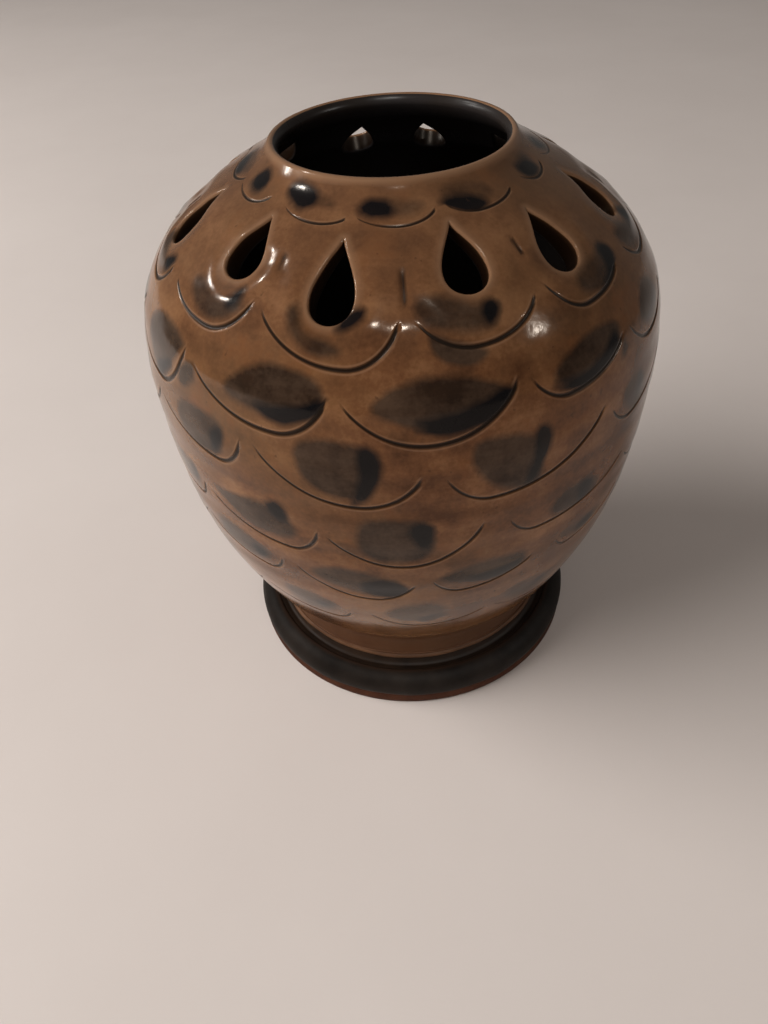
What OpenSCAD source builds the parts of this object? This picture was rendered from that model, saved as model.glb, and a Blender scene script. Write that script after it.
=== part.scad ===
// Potpourri vase: a thrown stoneware jar with a pierced shoulder, on a separate foot.
// Millimetres, +Z up, origin at the centre of the foot's resting face.
// Azimuths are counted from the front (-Y) towards +X, and a vent faces the front.

/* [Overall] */
// Height of the clay from the table to the top of the lip
body_h = 170; // [140:1:210]
// Radius of the clay at the belly, the widest place
belly_r = 74.2; // [62:0.1:90]
// Depth of the belly below the lip
belly_drop = 60; // [52:1:68]

/* [Body profile] */
// How far the waist draws in above the foot, from the radius of the joint
waist_in = 2.2; // [0.5:0.1:4]
// Height of the waist above the joint
waist_rise = 7; // [2.5:0.1:8]
// Radius of the hip, where the lower side turns in to the waist
hip_r = 58.4; // [52:0.1:66]
// Height of the hip
hip_z = 39; // [30:1:42]
// How far the lower side draws in half-way up, from the radius of the belly
flank_in = 4.2; // [2:0.1:10]
// Height of that place
flank_z = 71; // [60:1:78]
// How far the side draws in where it turns over into the shoulder
shoulder_in = 2.4; // [1:0.1:6]
// Depth of that place below the lip
shoulder_drop = 37.5; // [34:0.5:42]
// How far the middle of the shoulder draws in
crown_in = 10.2; // [7:0.1:14]
// Depth of that place below the lip
crown_drop = 24; // [21:0.5:28]
// Radius at the upper end of the vents
collar_r = 49.6; // [45:0.1:54]
// Depth of that place below the lip
collar_drop = 12; // [10:0.5:15]
// How far the foot of the lip stands out from the lip
neck_out = 3.3; // [1:0.1:6]
// Depth of that place below the lip
neck_drop = 3.6; // [2.8:0.1:6]
// Outer radius of the lip
rim_r = 32.1; // [28:0.1:40]
// Lean of the lip towards the middle, from upright
lip_lean = 40; // [0:5:50]

/* [Clay and glaze thickness] */
// Thickness of the thrown wall
wall_t = 5; // [3.5:0.1:6.5]
// Thickness of the lip
lip_t = 1.6; // [1.2:0.1:4]
// Length below the lip over which the wall thins
lip_taper = 14; // [8:1:20]
// Thickness of the floor
floor_t = 9; // [6:0.5:11]
// Thickness of every coat of glaze
glaze_t = 0.4; // [0.2:0.05:0.6]

/* [Foot] */
// Radius of the joint between body and foot
joint_r = 48.6; // [40:0.1:54]
// Height of the joint, where the underside of the body lies
joint_z = 15; // [13.5:0.1:18]
// Width of the seat on which the body stands, inside that radius
seat_w = 7.6; // [5:0.1:12]
// How far the foot reaches out past the joint
foot_out = 9.3; // [8:0.1:13]
// Radius of the rounded roll round the foot
roll_r = 5.4; // [4:0.1:6.5]
// Height of the underside of the roll above the table
roll_lift = 0.5; // [0.2:0.1:2]
// How far the side draws in from the roll to the table
base_in = 0; // [0:0.1:4]
// Width of the worn edges under the foot
edge = 0.8; // [0.3:0.1:1.5]
// Thickness of the slip in that joint
slip_t = 0.6; // [0.3:0.1:1]
// Radius of the bead of slip that shows round the joint
bead_r = 0.9; // [0.6:0.1:1.3]

/* [Vents] */
// Number of teardrop vents, and of scales in each row
vents = 12; // [8:1:16]
// Width of a vent
vent_w = 10.5; // [8:0.5:12]
// Length of a vent
vent_l = 18.5; // [14:0.5:22]
// Depth of the middle of a vent below the lip
vent_drop = 13; // [11:0.5:16]
// How much a vent narrows towards its pointed upper end
vent_point = 1.5; // [0.8:0.1:1.8]
// Unevenness of the hand-cut vents: 0 makes them all alike
vent_hand = 1; // [0:0.1:1.2]

/* [Scales] */
// Number of rows of scales below the vents, with the row that holds them
rows = 6; // [3:1:7]
// Depth of the top row's lowest points below the lip
top_row_drop = 25; // [24:0.5:30]
// Height of the bottom row's lowest points above the hip
low_row_gap = 12; // [10:1:24]
// Depth of the small scales under the lip below it
lip_row_drop = 6.5; // [5:0.5:8]
// Depth of a scale's line, from its ends to its lowest point
scale_sag = 11.5; // [8:0.5:14]
// The same for the small scales under the lip
lip_sag = 3.5; // [3:0.5:5]
// Width of an incised line
line_w = 1.1; // [0.6:0.1:1.6]
// Gap between the ends of neighbouring lines
line_gap = 3.2; // [2:0.1:5]

/* [Hidden] */
$fn = 96;
// Steps in each stretch of the profile, in the lip and in each side of a vent
profile_steps = 4;
lip_steps = 8;
vent_steps = 12;
// Reach of a cutter past the surface that it has to clear
over = 4;
// Distance to either side at which the slope of the surface is read
probe = 1;
// Part of the roll that carries the dark glaze, as angles from straight out
band_low = -20;
band_high = 110;
// Angle at which the side of the foot leaves the roll, and at which the web joins it
side_angle = -25;
web_angle = 125;

// Each vent in turn from the front one: degrees aside, shift up the slope, extra length
vent_marks = [
    [-2, -2.4, 2.2], [0, 1.8, -0.6], [-3, -0.6, -0.6], [0, 0, -0.6],
    [1, 0.8, 0.4], [-1, -0.8, 0], [0, 0.4, -0.4], [-4, -0.4, 0.6],
    [-3, 0.8, 0], [-4, -0.8, -0.4], [-5, -1.8, 1], [0, 1.8, -1.2],
];

foot_r = joint_r + foot_out;
base_r = foot_r - base_in;
bore_r = joint_r - seat_w;
roll_z = roll_lift + roll_r;

// Middle of the rounded lip, the way out from it and the way up along it
lip_mid = [rim_r - lip_t / 2, body_h - lip_t / 2];
lip_out = [cos(lip_lean), sin(lip_lean)];
lip_up = [-sin(lip_lean), cos(lip_lean)];

// Profile of the clay's outside, from the joint up to the lip
knots = [
    [joint_r, joint_z],
    [joint_r - waist_in, joint_z + waist_rise],
    [hip_r, hip_z],
    [belly_r - flank_in, flank_z],
    [belly_r, body_h - belly_drop],
    [belly_r - shoulder_in, body_h - shoulder_drop],
    [belly_r - crown_in, body_h - crown_drop],
    [collar_r, body_h - collar_drop],
    [rim_r + neck_out, body_h - neck_drop],
    lip_mid + lip_t / 2 * lip_out,
];

function chord(p, i) = norm(p[i + 1] - p[i]);

// Direction of the curve at a knot: that of the lip at the last one
function heading(p, i) =
    i == len(p) - 1 ? lip_up
    : i == 0 ? (p[1] - p[0]) / chord(p, 0)
    : (p[i + 1] - p[i - 1]) / (chord(p, i - 1) + chord(p, i));

// Point at share u of the stretch after knot i
function on_curve(p, i, u) =
    (2 * u ^ 3 - 3 * u ^ 2 + 1) * p[i]
    + (u ^ 3 - 2 * u ^ 2 + u) * chord(p, i) * heading(p, i)
    + (3 * u ^ 2 - 2 * u ^ 3) * p[i + 1]
    + (u ^ 3 - u ^ 2) * chord(p, i) * heading(p, i + 1);

function curve(p) = [
    for (i = [0:len(p) - 2], j = [0:profile_steps - 1]) on_curve(p, i, j / profile_steps),
    p[len(p) - 1],
];

// Outward direction at a point of a profile that runs upwards
function outward(p, i) =
    let (step = p[min(i + 1, len(p) - 1)] - p[max(i - 1, 0)])
    i == len(p) - 1 ? lip_out : [step.y, -step.x] / norm(step);

function reversed(p) = [for (i = [len(p) - 1:-1:0]) p[i]];

function wall_at(z) = lip_t + (wall_t - lip_t) * min(1, max(0, (lip_mid.y - z) / lip_taper));

clay_out = curve(knots);
clay_count = len(clay_out);
radius_by_height = [for (p = clay_out) [p.y, p.x]];
function clay_r(z) = lookup(z, radius_by_height);
// Angle of the surface at a height, from level, read between two near heights
function clay_tilt(z) = atan2(2 * probe, clay_r(z - probe) - clay_r(z + probe));

floor_z = joint_z + floor_t;
inner_from = hip_z;
inner_wall = [
    for (i = [0:clay_count - 1]) if (clay_out[i].y >= inner_from)
        clay_out[i] - wall_at(clay_out[i].y) * outward(clay_out, i)
];
floor_r = inner_wall[0].x - (inner_wall[0].y - floor_z);
clay_in = concat([[floor_r, floor_z]], inner_wall);

// Inner points of the half round over the lip, from its outside to its inside
function lip_arc(r) = [
    for (i = [1:lip_steps - 1])
        let (a = lip_lean + 180 * i / lip_steps)
        lip_mid + r * [cos(a), sin(a)]
];

// Heights of the rows of scales, from the one that holds the vents downwards
top_row_z = body_h - top_row_drop;
low_row_z = hip_z + low_row_gap;
row_step = (top_row_z - low_row_z) / (rows - 1);
spacing = 360 / vents;
function scale_w(z) = 2 * PI * clay_r(z) / vents - line_gap;

module body_outline() {
    polygon(concat(
        [[0, joint_z]],
        clay_out,
        lip_arc(lip_t / 2),
        reversed(clay_in),
        [[0, floor_z]]
    ));
}

module foot_outline() {
    roll_mid = [foot_r - roll_r, roll_z];
    function on_roll(a) = roll_mid + roll_r * [cos(a), sin(a)];
    translate(roll_mid) circle(roll_r);
    polygon([
        [bore_r, edge],
        [bore_r + edge, 0],
        [base_r - edge, 0],
        [base_r, edge],
        on_roll(side_angle),
        on_roll(web_angle),
        [joint_r, joint_z - slip_t],
        [bore_r, joint_z - slip_t],
    ]);
}

// Teardrop of unit half length, from its pointed upper end (0 degrees) to its round lower one (180)
function teardrop_x(a) = sin(a) * sin(a / 2) ^ vent_point;
teardrop_half = teardrop_x(acos(-vent_point / (2 + vent_point)));

module vent_outline(length) {
    k = vent_w / 2 / teardrop_half;
    polygon([
        for (i = [0:2 * vent_steps - 1])
            let (a = 180 * i / vent_steps)
            [k * (a < 180 ? teardrop_x(a) : -teardrop_x(360 - a)), length / 2 * cos(a)]
    ]);
}

// Places a flat shape on the clay at an azimuth and a height, with its Y axis up the slope
module on_clay(azimuth, z) {
    rotate([0, 0, azimuth])
        translate([0, -clay_r(z), z])
            rotate([clay_tilt(z), 0, 0])
                children();
}

module vent_cuts() {
    for (i = [0:vents - 1]) {
        mark = vent_hand * vent_marks[i % len(vent_marks)];
        on_clay(spacing * i + mark[0], body_h - vent_drop)
            translate([0, mark[1], -wall_t - over])
                linear_extrude(wall_t + 2 * over) vent_outline(vent_l + mark[2]);
    }
}

// Arc of a given width and depth, which marks the edge of one scale, centred on its depth
module scale_line(width, sag) {
    r = (width ^ 2 / 4 + sag ^ 2) / (2 * sag);
    clip = r + line_w;
    intersection() {
        translate([0, r - sag / 2]) difference() {
            circle(r + line_w / 2);
            circle(r - line_w / 2);
        }
        translate([-clip, sag / 2 - clip]) square([2 * clip, clip]);
    }
}

// One row of scales whose lowest points are at a height
module scale_row(z, first, sag) {
    middle = z + sag / 2 * sin(clay_tilt(z));
    for (i = [0:vents - 1])
        on_clay(first + spacing * i, middle)
            translate([0, 0, -over])
                linear_extrude(2 * over) scale_line(scale_w(middle), sag);
}

module scale_cuts() {
    for (i = [0:rows - 1])
        scale_row(top_row_z - row_step * i, i % 2 == 0 ? 0 : spacing / 2, scale_sag);
    scale_row(body_h - lip_row_drop, spacing / 2, lip_sag);
}

// Wall, shoulder, lip and floor, thrown as one piece and pierced while leather-hard
module thrown_body() {
    color("#8a5a3c") difference() {
        rotate_extrude() body_outline();
        vent_cuts();
    }
}

// Foot thrown as a ring, with a roll round it and a bare resting face
module foot_ring() {
    color("#7a4630") rotate_extrude() foot_outline();
}

// Slip that holds the foot to the body, with the bead that was left round the joint
module luting_slip() {
    color("#a98362") rotate_extrude() difference() {
        union() {
            translate([bore_r, joint_z - slip_t]) square([joint_r - bore_r, slip_t]);
            translate([joint_r, joint_z - slip_t / 2]) circle(bead_r);
        }
        body_outline();
        foot_outline();
    }
}

// Brown glaze from the bead to the inner edge of the lip, broken by the incised lines
module outer_glaze() {
    start = [for (i = [0:clay_count - 1]) if (clay_out[i].y > joint_z + bead_r) i][0];
    under = [for (i = [start:clay_count - 1]) clay_out[i]];
    top = [for (i = [start:clay_count - 1]) clay_out[i] + glaze_t * outward(clay_out, i)];
    color("#6b4a32") difference() {
        rotate_extrude() polygon(concat(
            top,
            lip_arc(lip_t / 2 + glaze_t),
            [lip_mid - (lip_t / 2 + glaze_t) * lip_out, lip_mid - lip_t / 2 * lip_out],
            reversed(concat(under, lip_arc(lip_t / 2)))
        ));
        vent_cuts();
        scale_cuts();
    }
}

// Dark glaze over the inside, from the lip down to the floor
module liner_glaze() {
    inner = concat(
        [[floor_r, floor_z] + glaze_t * [-1, 1]],
        [for (i = [1:len(clay_in) - 1]) clay_in[i] - glaze_t * outward(clay_in, i)]
    );
    color("#15171c") difference() {
        rotate_extrude() polygon(concat(
            [[0, floor_z]],
            clay_in,
            reversed(inner),
            [[0, floor_z + glaze_t]]
        ));
        vent_cuts();
    }
}

// Near-black glaze on the roll of the foot
module foot_glaze() {
    function ray(a) = 2 * roll_r * [cos(a), sin(a)];
    color("#1c1b1a") rotate_extrude()
        translate([foot_r - roll_r, roll_z]) intersection() {
            difference() {
                circle(roll_r + glaze_t);
                circle(roll_r);
            }
            polygon([[0, 0], ray(band_low), ray((band_low + band_high) / 2), ray(band_high)]);
        }
}

thrown_body();
foot_ring();
luting_slip();
outer_glaze();
liner_glaze();
foot_glaze();
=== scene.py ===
"""Potpourri vase: a thrown and incised stoneware jar with a glossy brown glaze.

Lengths are in millimetres until a mesh is made. Azimuths are in degrees from the front (-Y) towards +X,
as in the part's source, and s is the length down the wall from the lip.
"""
import math
import bpy
import numpy as np
from mathutils import Matrix


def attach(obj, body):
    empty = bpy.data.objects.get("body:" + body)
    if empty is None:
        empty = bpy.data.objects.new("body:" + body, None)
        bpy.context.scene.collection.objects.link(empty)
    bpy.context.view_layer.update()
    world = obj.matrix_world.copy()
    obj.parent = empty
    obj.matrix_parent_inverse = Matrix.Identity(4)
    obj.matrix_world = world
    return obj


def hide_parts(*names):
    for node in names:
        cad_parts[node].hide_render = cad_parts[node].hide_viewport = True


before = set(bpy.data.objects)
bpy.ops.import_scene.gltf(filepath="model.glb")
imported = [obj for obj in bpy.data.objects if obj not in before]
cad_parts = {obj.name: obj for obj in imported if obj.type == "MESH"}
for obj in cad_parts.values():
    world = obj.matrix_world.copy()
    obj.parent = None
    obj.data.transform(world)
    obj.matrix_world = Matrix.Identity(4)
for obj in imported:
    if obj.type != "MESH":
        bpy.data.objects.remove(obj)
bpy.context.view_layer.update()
SEED = 12
rng = np.random.default_rng(SEED)
MM = 0.001

# Sizes of the pot, the same as in the part's source
BODY_H, RIM_R, BELLY_R = 170.0, 32.1, 74.2
LIP_T, WALL_T, LIP_TAPER, GLAZE = 1.6, 5.0, 14.0, 0.4
LIP_LEAN = math.radians(40)
LIP_MID = np.array([RIM_R - LIP_T / 2, BODY_H - LIP_T / 2])
LIP_OUT = np.array([math.cos(LIP_LEAN), math.sin(LIP_LEAN)])
LIP_UP = np.array([-LIP_OUT[1], LIP_OUT[0]])
JOINT_R, JOINT_Z, FLOOR_T, HIP_Z = 48.6, 15.0, 9.0, 39.0
# Joint, waist, hip, flank, belly, shoulder, crown, collar, neck and lip
KNOTS = np.array([
    (JOINT_R, JOINT_Z), (JOINT_R - 2.2, JOINT_Z + 7), (58.4, HIP_Z), (BELLY_R - 4.2, 71),
    (BELLY_R, BODY_H - 60), (BELLY_R - 2.4, BODY_H - 37.5), (BELLY_R - 10.2, BODY_H - 24),
    (49.6, BODY_H - 12), (RIM_R + 3.3, BODY_H - 3.6), LIP_MID + LIP_T / 2 * LIP_OUT,
])
# Half the thickness of the glazed lip, and how far its inner side swells
LIP_EDGE, LIP_IN = LIP_T / 2 + GLAZE, 2.4
SEAT_W, SLIP_T, BEAD_R = 7.6, 0.6, 0.9
ROLL_R, FOOT_EDGE = 5.4, 0.8
FOOT_R, ROLL_Z = JOINT_R + 9.3, ROLL_R + 0.5
VENTS, VENT_W, VENT_L, VENT_POINT = 12, 10.5, 18.5, 1.5
VENT_Z = BODY_H - 13
# Each vent from the front one: degrees aside, shift up the slope, extra length
VENT_MARKS = [
    (-2, -2.4, 2.2), (0, 1.8, -0.6), (-3, -0.6, -0.6), (0, 0, -0.6),
    (1, 0.8, 0.4), (-1, -0.8, 0), (0, 0.4, -0.4), (-4, -0.4, 0.6),
    (-3, 0.8, 0), (-4, -0.8, -0.4), (-5, -1.8, 1), (0, 1.8, -1.2),
]
# Points down a vent's side, half the width and height of the field that counts as near, and a far gap
VENT_POINTS, VENT_FIELD, FAR_OFF = 49, (15, 20), 99.0
# Rounding of the vents' outer and inner edges, and how dark the cut wall between is made at shares of its
# depth: partly darker glaze, partly painted shade inside the hole
VENT_ROUND, VENT_ROUND_IN = 0.6, 0.7
VENT_WALL_GLAZE_AND_SHADE = [(0.03, 0.55), (0.09, 0.90), (0.3, 1.0), (0.7, 1.0)]
# The knife drew the clay in a little at each vent, and pushed up a low ridge round it
DRAWN_IN, DRAWN_W = 0.12, 3.0
RIDGE_H, RIDGE_AT, RIDGE_W = 0.24, 4.6, 2.2

# Rows of scales from the lip down. "seen" has the scales that face the camera: azimuth and s of
# the left end, the lowest point and the right end. "wash" and "pool" outline the brushed oxide on them, in
# mm from the lowest point. "cut" and "ink" are the strength of line and oxide, and "radius" is about that
# of the pot there.
ROWS = [
    dict(cut=0.30, ink=0.60, radius=40, seen=[
        (-59, 9.5, -47, 11.5, -36.5, 8), (-27.5, 9, -13, 11.6, -3, 9.5), (0, 9, 14, 11.7, 27, 8),
        (30.5, 7.5, 42.5, 10.8, 58, 8), (66, 6.5, 75, 9.7, 85, 7.5), (91.5, 7, 105, 10.4, 119.5, 8),
    ], wash=[
        [(-7.5, 3.5), (-1.5, 8), (3.5, 5), (3, 1.5), (-3, 1)],
        [(-14, 7.5), (-6, 9.5), (3, 7), (5, 3.5), (-2.5, 3.5), (-10.5, 4)],
        [(-9.5, 7), (-1.5, 8.5), (8, 6.5), (5.5, 2), (-1.5, 2), (-8.5, 4)],
        [(-8.5, 9), (1, 8.5), (6.5, 5.5), (5, 1.5), (-3.5, 0.5), (-9.5, 3.5)],
        [(-6, 7), (2, 8.5), (7, 6), (5, 2), (-1, 1), (-6, 3)],
        [(-8, 5), (0, 8.5), (7, 6), (5, 2), (-2, 1), (-7, 3)],
    ], pool=[
        [(-6, 4.5), (-2, 9.5), (2.5, 6), (0.5, 2)],
        [(-13, 7), (-9.5, 9.5), (-3.5, 8.5), (-2.5, 4.5), (-7, 3)],
        [(-9.5, 5.5), (-6.5, 7.5), (-1.5, 6.5), (-1.5, 3), (-6, 2.5), (-9, 3.5)],
        [(-8.5, 4.5), (-3, 5), (2, 2.5), (0.5, 0), (-3.5, 0), (-8, 2.5)],
        [(-4, 5.5), (2, 5.5), (4, 2), (0, 0.5), (-4, 2)],
        [(-5, 5), (1, 6.5), (3.5, 3), (0, 1), (-4, 2)],
    ]),
    dict(cut=0.55, ink=0.75, radius=66, seen=[
        (-77, 36, -61, 43.5, -53, 37), (-48.5, 37, -31, 42.6, -20.5, 34), (-18.5, 33.7, 2.3, 45.2, 13, 35.4),
        (16.5, 34.8, 28.2, 41.8, 43.5, 34.4), (46.4, 31.8, 56, 41, 70, 37.5), (77, 36, 86, 42, 100, 37),
    ], wash=[
        [(-12, 8), (-8, 12), (1, 6.5), (8, 9), (6, 3), (0, 1.5), (-6, 2)],
        [(-13.5, 8), (-8.5, 12), (1, 6.5), (8, 11), (9.5, 6.5), (4, 1.5), (-5, 1)],
        [(-16.5, 12.5), (-12.5, 15), (-10, 8), (-2, 6.5), (0, 3), (-5.5, 1.5), (-11.5, 3.5), (-15, 7.5)],
        [(-13, 13), (-4, 12.5), (4.5, 8.5), (8.5, 9.5), (6.5, 5), (2.5, 2.5), (-10, 4), (-14, 8.5)],
        [(0, 8), (8, 9), (16.5, 10.5), (19, 6), (13.5, 1), (6, 0), (-1.5, 2.5)],
        [(-10, 9), (-4, 11), (4, 8), (12, 10), (12, 5), (4, 1), (-7, 3)],
    ], pool=[
        [(2, 6), (6, 9), (8, 8), (6, 4)],
        [(3.5, 6.5), (6.5, 11.5), (8, 11.5), (7, 6.5)],
        [(-2.5, 9), (1, 13), (4, 13.5), (3.5, 11), (-0.5, 8.5)],
        [(3.5, 8.5), (6.5, 9.5), (7, 6.5), (4.5, 4), (3, 5)],
        [(15, 9.5), (18.5, 6.5), (14, 1), (7.5, -1), (3, 0), (12, 3), (12.5, 7)],
        [(5, 9), (9, 10), (10, 5), (6, 3)],
    ]),
    dict(cut=0.60, ink=1.0, radius=74, seen=[
        (-62, 55, -45, 63.3, -35, 50.7), (-32, 51.7, -11.2, 62.1, -0.5, 52), (1.5, 51.8, 17.8, 63, 35, 50.5),
        (37.3, 51.5, 46, 58.6, 62, 52), (64.6, 51.4, 74, 58.5, 88, 52),
    ], wash=[
        [(-13, 12), (-2, 17.5), (11.5, 14.5), (11.5, 12), (3, 2.5), (-3, 1)],
        [(-15.5, 7.5), (-9.5, 13.5), (-3, 16.5), (8.5, 15.5), (13.5, 11), (10, 6.5), (4.5, 4), (-6.5, 5)],
        [(-14.5, 9), (-6, 15.5), (4.5, 16), (15.5, 13.5), (20, 9.5), (14, 5), (3.5, 3), (-7.5, 6.5)],
        [(-6, 5.5), (1, 10), (9.5, 12), (19, 11), (19.5, 7), (16, 4), (8, 1), (1, 1.5)],
        [(-6.5, 5), (1.5, 13.5), (10, 11), (12, 6), (4, 2.5)],
    ], pool=[
        [(-2.5, 3), (5.5, 7.5), (6.5, 5.5), (0, 0.5)],
        [(-4.5, 6.5), (1, 6.5), (7, 7.5), (13, 10), (11, 7), (6, 4), (1, 3.5)],
        [(-2.5, 6), (5.5, 7), (12, 8.5), (17.5, 10.5), (19.5, 9), (15, 5), (8.5, 3.5), (2, 3.5)],
        [(-3.5, 4), (4.5, 3), (11.5, 5), (16, 8), (17, 4.5), (12.5, 1.5), (6, 0.5), (-0.5, 2)],
        [(-2, 4), (4, 5), (10, 8), (9, 4), (3, 2.5)],
    ]),
    dict(cut=0.55, ink=0.92, radius=74, seen=[
        (-46, 68, -26, 76.6, -19.2, 68), (-16.8, 65.8, 4.4, 81, 16.3, 71.8),
        (20.3, 72.3, 30, 81.2, 55, 66.7), (57.5, 70, 65, 76.5, 82, 68),
    ], wash=[
        [
            (-15.5, 11), (-8.5, 13.5), (-2.5, 13), (3, 12), (3.5, 7.5),
            (0.5, 1.5), (-6, 0.5), (-12, 1.5), (-15.5, 5),
        ],
        [(-15.5, 18.5), (-4.5, 20), (4, 17.5), (5.5, 11.5), (2, 4), (-4, 2), (-13.5, 7)],
        [(-6, 14.5), (-4, 18), (5, 17.5), (12, 14.5), (13, 2.5), (9, 0.5), (1.5, 2), (-5, 9)],
        [(-4.5, 10), (1.5, 12), (6.5, 9), (8, 2), (0, 1), (-5.5, 6.5)],
    ], pool=[
        [(-1, 9), (2.5, 10), (2, 6), (-1.5, 1.5)],
        [(0.5, 16), (3.5, 17), (5.5, 12), (2.5, 4.5), (-2, 2), (1.5, 10.5)],
        [(10, 15.5), (13, 16), (14, 12), (12.5, 8), (10, 3), (8, 3), (10.5, 9.5)],
        [(3, 9.5), (6, 9), (6.5, 4), (4, 3)],
    ]),
    dict(cut=0.50, ink=0.90, radius=72, seen=[
        (-60, 92, -39.5, 98.5, -35.3, 92), (-33.5, 91.6, -12, 101.1, -5, 92.6),
        (-3.7, 92, 12.4, 103.5, 28.3, 89.5), (33.6, 91, 41, 98, 66, 90),
    ], wash=[
        [(-13, 10), (-5, 13), (3, 10), (2, 4), (-9, 3)],
        [
            (-24.5, 12.5), (-19, 13), (-11, 15), (-5.5, 16), (0, 15.5),
            (1.5, 11.5), (3, 4.5), (-9, 3), (-16.5, 6),
        ],
        [(-10.5, 17.5), (-5.5, 19), (7, 17.5), (7.5, 9.5), (5.5, 3), (-6.5, 1), (-12, 7.5)],
        [(2.5, 6.5), (7.5, 10), (15, 10), (21, 6), (17, 1), (9.5, 0.5), (3, 2.5)],
    ], pool=[
        [(-1, 11), (2, 11), (2, 7), (0, 6)],
        [(-4.5, 15), (-1, 17), (1, 13.5), (-0.5, 10.5), (-3, 11.5)],
        [(1.5, 15.5), (4.5, 16.5), (7, 15), (6.5, 10), (4.5, 8), (2.5, 11.5)],
        [(13, 9), (17, 8), (16, 3), (12, 3)],
    ]),
    dict(cut=0.45, ink=0.85, radius=69, seen=[
        (-41, 107, -21, 115.5, -16, 109.7), (-13, 107.7, 4.9, 120.3, 14.1, 113),
        (17.9, 110.8, 24.8, 117.7, 41, 109.8), (47.4, 109, 52, 113.5, 70, 105),
    ], wash=[
        [(-17.5, 12), (-7, 13.5), (2.5, 9), (2, 4), (-8, 0.5), (-17, 4)],
        [(-18, 11), (-7.5, 16), (5, 11.5), (8.5, 8.5), (6.5, 2), (-1.5, 2), (-12.5, 6.5)],
        [(-7.5, 8), (0.5, 12.5), (15, 12.5), (18.5, 9), (11.5, 2.5), (2.5, 3), (-5, 5.5)],
        [(-6, 7), (3, 8), (13, 7), (9, 2.5), (-2, 2.5)],
    ], pool=[
        [(-4, 8), (0, 8), (1, 5), (-3, 4)],
        [(-3, 7), (2, 10.5), (8.5, 8), (8.5, 2.5), (1.5, 2.5)],
        [(1, 6.5), (10, 6.5), (16.5, 8), (12.5, 3.5), (6.5, 2.5)],
        [(2, 5), (9, 6), (8, 3), (3, 3)],
    ]),
    dict(cut=0.35, ink=0.75, radius=62, seen=[
        (-29, 131, -7.4, 138, -2.7, 133.7), (2.3, 130.4, 16.2, 140.6, 32.3, 134),
    ], wash=[
        [(-14.5, 14.5), (-5.5, 15.5), (1.5, 13), (4, 8.5), (-2, 2.5), (-11.5, 3)],
        [(-10.5, 13.5), (-4, 18), (3.5, 17.5), (7, 13), (4, 5.5), (-4.5, 4), (-9.5, 7.5)],
    ], pool=[
        [(-3.5, 9), (-1, 11), (0, 8.5), (-3, 5.5)],
        [(-1.5, 6), (2, 8.5), (6.5, 8), (2.5, 5), (0, 4)],
    ]),
]
# Oxide that slipped past a line: row, scale and outline as above
SMEARS = [
    (2, 2, [(0.5, 27), (6, 24), (13, 21.5), (17, 19.5), (12, 16.5), (5, 18), (1.5, 21)]),
    (2, 1, [(-33, 6.5), (-29.5, 10), (-25, 10), (-25, 5), (-30, 1.5), (-33.5, 2.5)]),
    (2, 3, [(20.5, 7), (23, 2.5), (21, 0.5), (17.5, 0)]),
]
# Short upright cuts between the vents: azimuth, upper and lower height, lean
TICKS = [
    (-17.2, 158.7, 155.3, 0.05), (14.4, 157.8, 151.4, 0.02), (45.7, 159.1, 155.7, 0.13),
    (104, 158, 153, 0.1), (163, 157, 152, -0.1), (224, 158.5, 154, 0.1), (284, 157, 152.5, -0.2),
]
# Depth of a line for its cut, then a tick's depth, darkness and half width
LINE_DEPTH, TICK_DEPTH, TICK_DARK, TICK_W = 0.65, 0.30, 0.95, 0.48
# How far the two sides of a line bow
BOW_LEFT, BOW_RIGHT = 0.75, 0.88
# Hidden scales: half the gap between them in degrees, the spread of their lowest points, the range of their
# rise to the ends, and the range of where the lowest point lies
SCALES_ROUND, HALF_GAP = 12, 1.3
LOW_SPREAD, RISE_RANGE, MIDDLE_RANGE = 0.9, (0.85, 1.1), (0.45, 0.58)
# Growth of the outlines of wash and pools, and the width of their soft edges
WASH_GROWTH, POOL_GROWTH, BRUSH_SOFT, SMEAR_SOFT = 1.06, 1.22, 3.8, 3.0

# The mesh: columns round the pot, rings across a line, and counts of rings in the stretches between
COLUMNS = 600
STEP = 360 / COLUMNS
AZIMUTHS = np.arange(COLUMNS) * STEP
LIP_RINGS, SKIRT_RINGS, ROW_RINGS, LOW_RINGS, NECK_RINGS, WELL_RINGS = 5, 3, 10, 24, 6, 26
ACROSS = np.array([-1.8, -1.25, -0.95, -0.72, -0.5, -0.25, 0, 0.25, 0.5, 0.72, 0.95, 1.25, 1.8])
# Steps of the profile from knot to knot, and how far the belt of vents stays clear of the line below it
CURVE_STEPS, SKIRT_CLEAR = 60, 0.2


def smooth(a, b, x):
    t = np.clip((x - a) / (b - a), 0, 1)
    return t * t * (3 - 2 * t)


# Profile of the clay, sampled from the lip down to the joint
def clay_curve(steps):
    chord = np.linalg.norm(np.diff(KNOTS, axis=0), axis=1)
    head = np.empty_like(KNOTS)
    head[0] = (KNOTS[1] - KNOTS[0]) / chord[0]
    head[-1] = LIP_UP
    head[1:-1] = (KNOTS[2:] - KNOTS[:-2]) / (chord[:-1] + chord[1:])[:, None]
    u = np.linspace(0, 1, steps, endpoint=False)[:, None]
    parts = [
        (2 * u**3 - 3 * u**2 + 1) * KNOTS[i] + (u**3 - 2 * u**2 + u) * chord[i] * head[i]
        + (3 * u**2 - 2 * u**3) * KNOTS[i + 1] + (u**3 - u**2) * chord[i] * head[i + 1]
        for i in range(len(chord))
    ]
    return np.vstack(parts + [KNOTS[-1:]])[::-1]


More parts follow.
